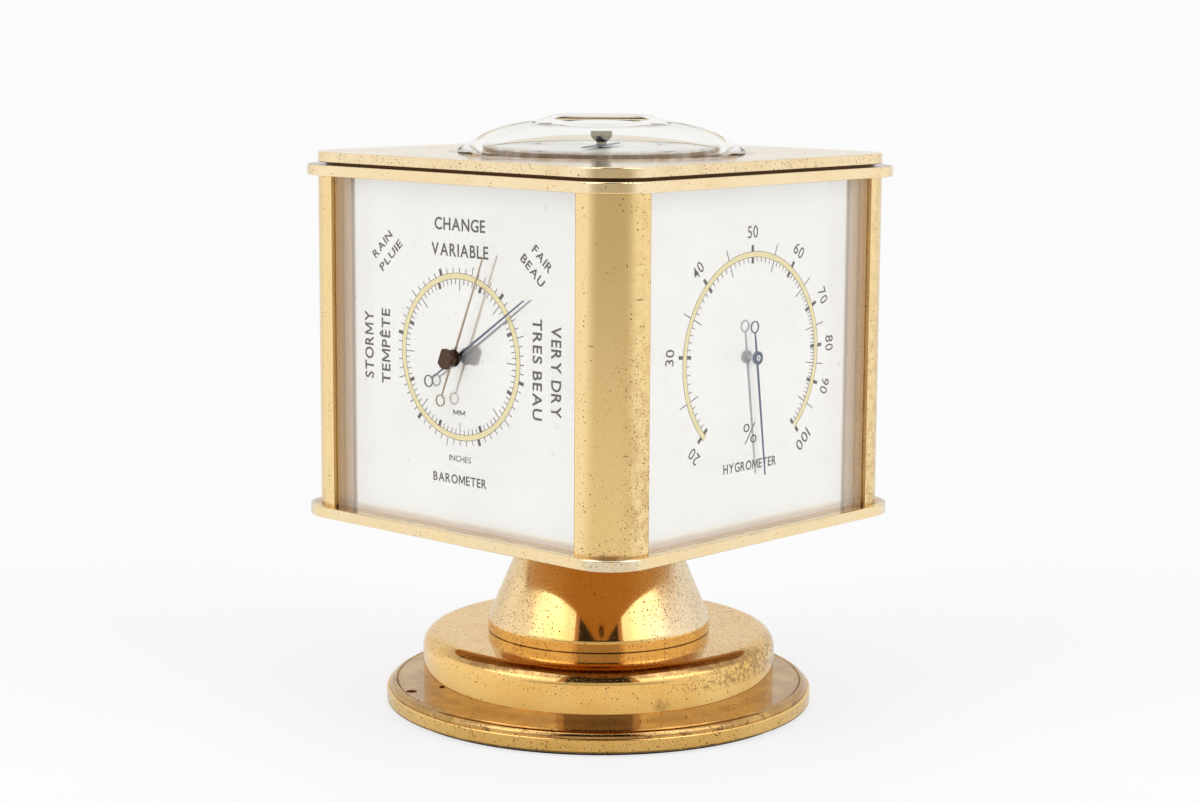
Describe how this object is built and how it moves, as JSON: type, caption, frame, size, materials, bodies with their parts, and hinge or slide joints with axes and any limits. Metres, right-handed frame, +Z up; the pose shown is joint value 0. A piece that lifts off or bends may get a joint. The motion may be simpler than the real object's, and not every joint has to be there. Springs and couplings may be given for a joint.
{
  "type": "desk weather station",
  "caption": "Square brass head with glazed weather and clock dials and a compass on top, turning on a stepped round foot.",
  "frame": {"origin": "middle of the underside of the foot pad, on the axis that the head turns about", "axes": "+Z up, -Y out of the barometer face, +X out of the hygrometer face"},
  "size_m": [0.095, 0.095, 0.1285],
  "materials": {
    "lacquered_brass": "polished, gold lacquered, pitted with age",
    "satin_brass": "satin, brushed lengthways, lacquered",
    "movement_brass": "turned, bright",
    "bronzed_brass": "browned",
    "steel": "machined",
    "blued_steel": "heat blued, polished",
    "cast_weight": "rough cast",
    "baize": "felt",
    "silvered_dial": "silvered, finely brushed crossways",
    "capsule_metal": "nickelled, satin",
    "humidity_strip": "coated strip",
    "bimetal": "rolled strip",
    "pane_glass": "clear, flat",
    "crystal": "clear, moulded"
  },
  "bodies": {
    "base": {"foot_pad": "baize", "base_flange": "lacquered_brass", "step_disc": "lacquered_brass", "base_weight": "cast_weight", "base_screws": "steel", "pivot_bolt": "steel", "spring_washer": "steel", "pivot_nut": "steel"},
    "compass_pointer": {"compass_needle": "blued_steel", "needle_cap": "movement_brass"},
    "barometer_pointer": {"barometer_hand": "blued_steel", "barometer_arbor": "steel"},
    "barometer_sector": {"sector_lever": "movement_brass"},
    "setting_pointer": {"setting_hand": "movement_brass", "setting_knob": "bronzed_brass"},
    "hygrometer_pointer": {"hygrometer_hand": "blued_steel", "hygrometer_arbor": "steel"},
    "thermometer_pointer": {"thermometer_hand": "blued_steel", "thermometer_arbor": "steel"},
    "minute_pointer": {"minute_hand": "blued_steel", "cannon_pinion": "movement_brass"},
    "minute_gear": {"minute_wheel": "movement_brass"},
    "hour_pointer": {"hour_hand": "blued_steel", "hour_wheel": "movement_brass"},
    "crown_sleeve": {"stem_sleeve": "movement_brass"},
    "crown": {"winding_stem": "steel", "winding_crown": "lacquered_brass"},
    "head": {"pedestal_cone": "lacquered_brass", "pedestal_screws": "steel", "bottom_plate": "lacquered_brass", "corner_post_front": "satin_brass", "corner_post_right": "satin_brass", "corner_post_rear": "satin_brass", "corner_post_left": "satin_brass", "bottom_post_screws": "lacquered_brass", "top_post_screws": "steel", "top_plate": "lacquered_brass", "lid": "lacquered_brass", "barometer_pane": "pane_glass", "hygrometer_pane": "pane_glass", "thermometer_pane": "pane_glass", "clock_pane": "pane_glass", "barometer_dial": "silvered_dial", "hygrometer_dial": "silvered_dial", "thermometer_dial": "silvered_dial", "clock_dial": "silvered_dial", "compass_card": "silvered_dial", "compass_pivot": "steel", "dome_crystal": "crystal", "barometer_frame": "movement_brass", "barometer_bridge": "movement_brass", "aneroid_capsule": "capsule_metal", "leaf_spring": "steel", "hygrometer_frame": "movement_brass", "humidity_coil": "humidity_strip", "thermometer_frame": "movement_brass", "bimetal_coil": "bimetal", "clock_case": "movement_brass", "clock_movement": "movement_brass"}
  },
  "joints": [
    {"name": "head_swivel", "type": "hinge", "parent": "base", "child": "head", "pos_m": [0, 0, 0.0162], "axis": [0, 0, 1], "continuous": true},
    {"name": "compass_turn", "type": "hinge", "parent": "head", "child": "compass_pointer", "pos_m": [0, 0, 0.1215], "axis": [0, 0, 1], "continuous": true},
    {"name": "barometer_turn", "type": "hinge", "parent": "head", "child": "barometer_pointer", "pos_m": [0, -0.04206, 0.08005], "axis": [0, 1, 0], "range_deg": [-225.6, 114.4]},
    {"name": "sector_swing", "type": "hinge", "parent": "head", "child": "barometer_sector", "pos_m": [0.0119, -0.035, 0.08005], "axis": [0, 1, 0], "range_deg": [-15.3, 30.1]},
    {"name": "setting_turn", "type": "hinge", "parent": "head", "child": "setting_pointer", "pos_m": [0, -0.04206, 0.08005], "axis": [0, 1, 0], "continuous": true},
    {"name": "hygrometer_turn", "type": "hinge", "parent": "head", "child": "hygrometer_pointer", "pos_m": [0.04206, 0, 0.08005], "axis": [-1, 0, 0], "range_deg": [-306, 12]},
    {"name": "thermometer_turn", "type": "hinge", "parent": "head", "child": "thermometer_pointer", "pos_m": [0, 0.04206, 0.08005], "axis": [0, -1, 0], "range_deg": [-154.3, 115.7]},
    {"name": "minute_turn", "type": "hinge", "parent": "head", "child": "minute_pointer", "pos_m": [-0.04206, 0, 0.08005], "axis": [1, 0, 0], "continuous": true},
    {"name": "minute_gear_turn", "type": "hinge", "parent": "head", "child": "minute_gear", "pos_m": [-0.0366, 0, 0.08605], "axis": [1, 0, 0], "continuous": true},
    {"name": "hour_turn", "type": "hinge", "parent": "head", "child": "hour_pointer", "pos_m": [-0.04206, 0, 0.08005], "axis": [1, 0, 0], "continuous": true},
    {"name": "crown_pull", "type": "slide", "parent": "head", "child": "crown_sleeve", "axis": [0, 0, -1], "range_m": [0, 0.0015]},
    {"name": "crown_turn", "type": "hinge", "parent": "crown_sleeve", "child": "crown", "pos_m": [-0.03176, 0, 0.0396], "axis": [0, 0, 1], "continuous": true}
  ],
  "couplings": [
    {"joint": "sector_swing", "follows": "barometer_turn", "ratio": -0.13333},
    {"joint": "minute_gear_turn", "follows": "minute_turn", "ratio": -0.33333},
    {"joint": "hour_turn", "follows": "minute_turn", "ratio": 0.083333}
  ]
}
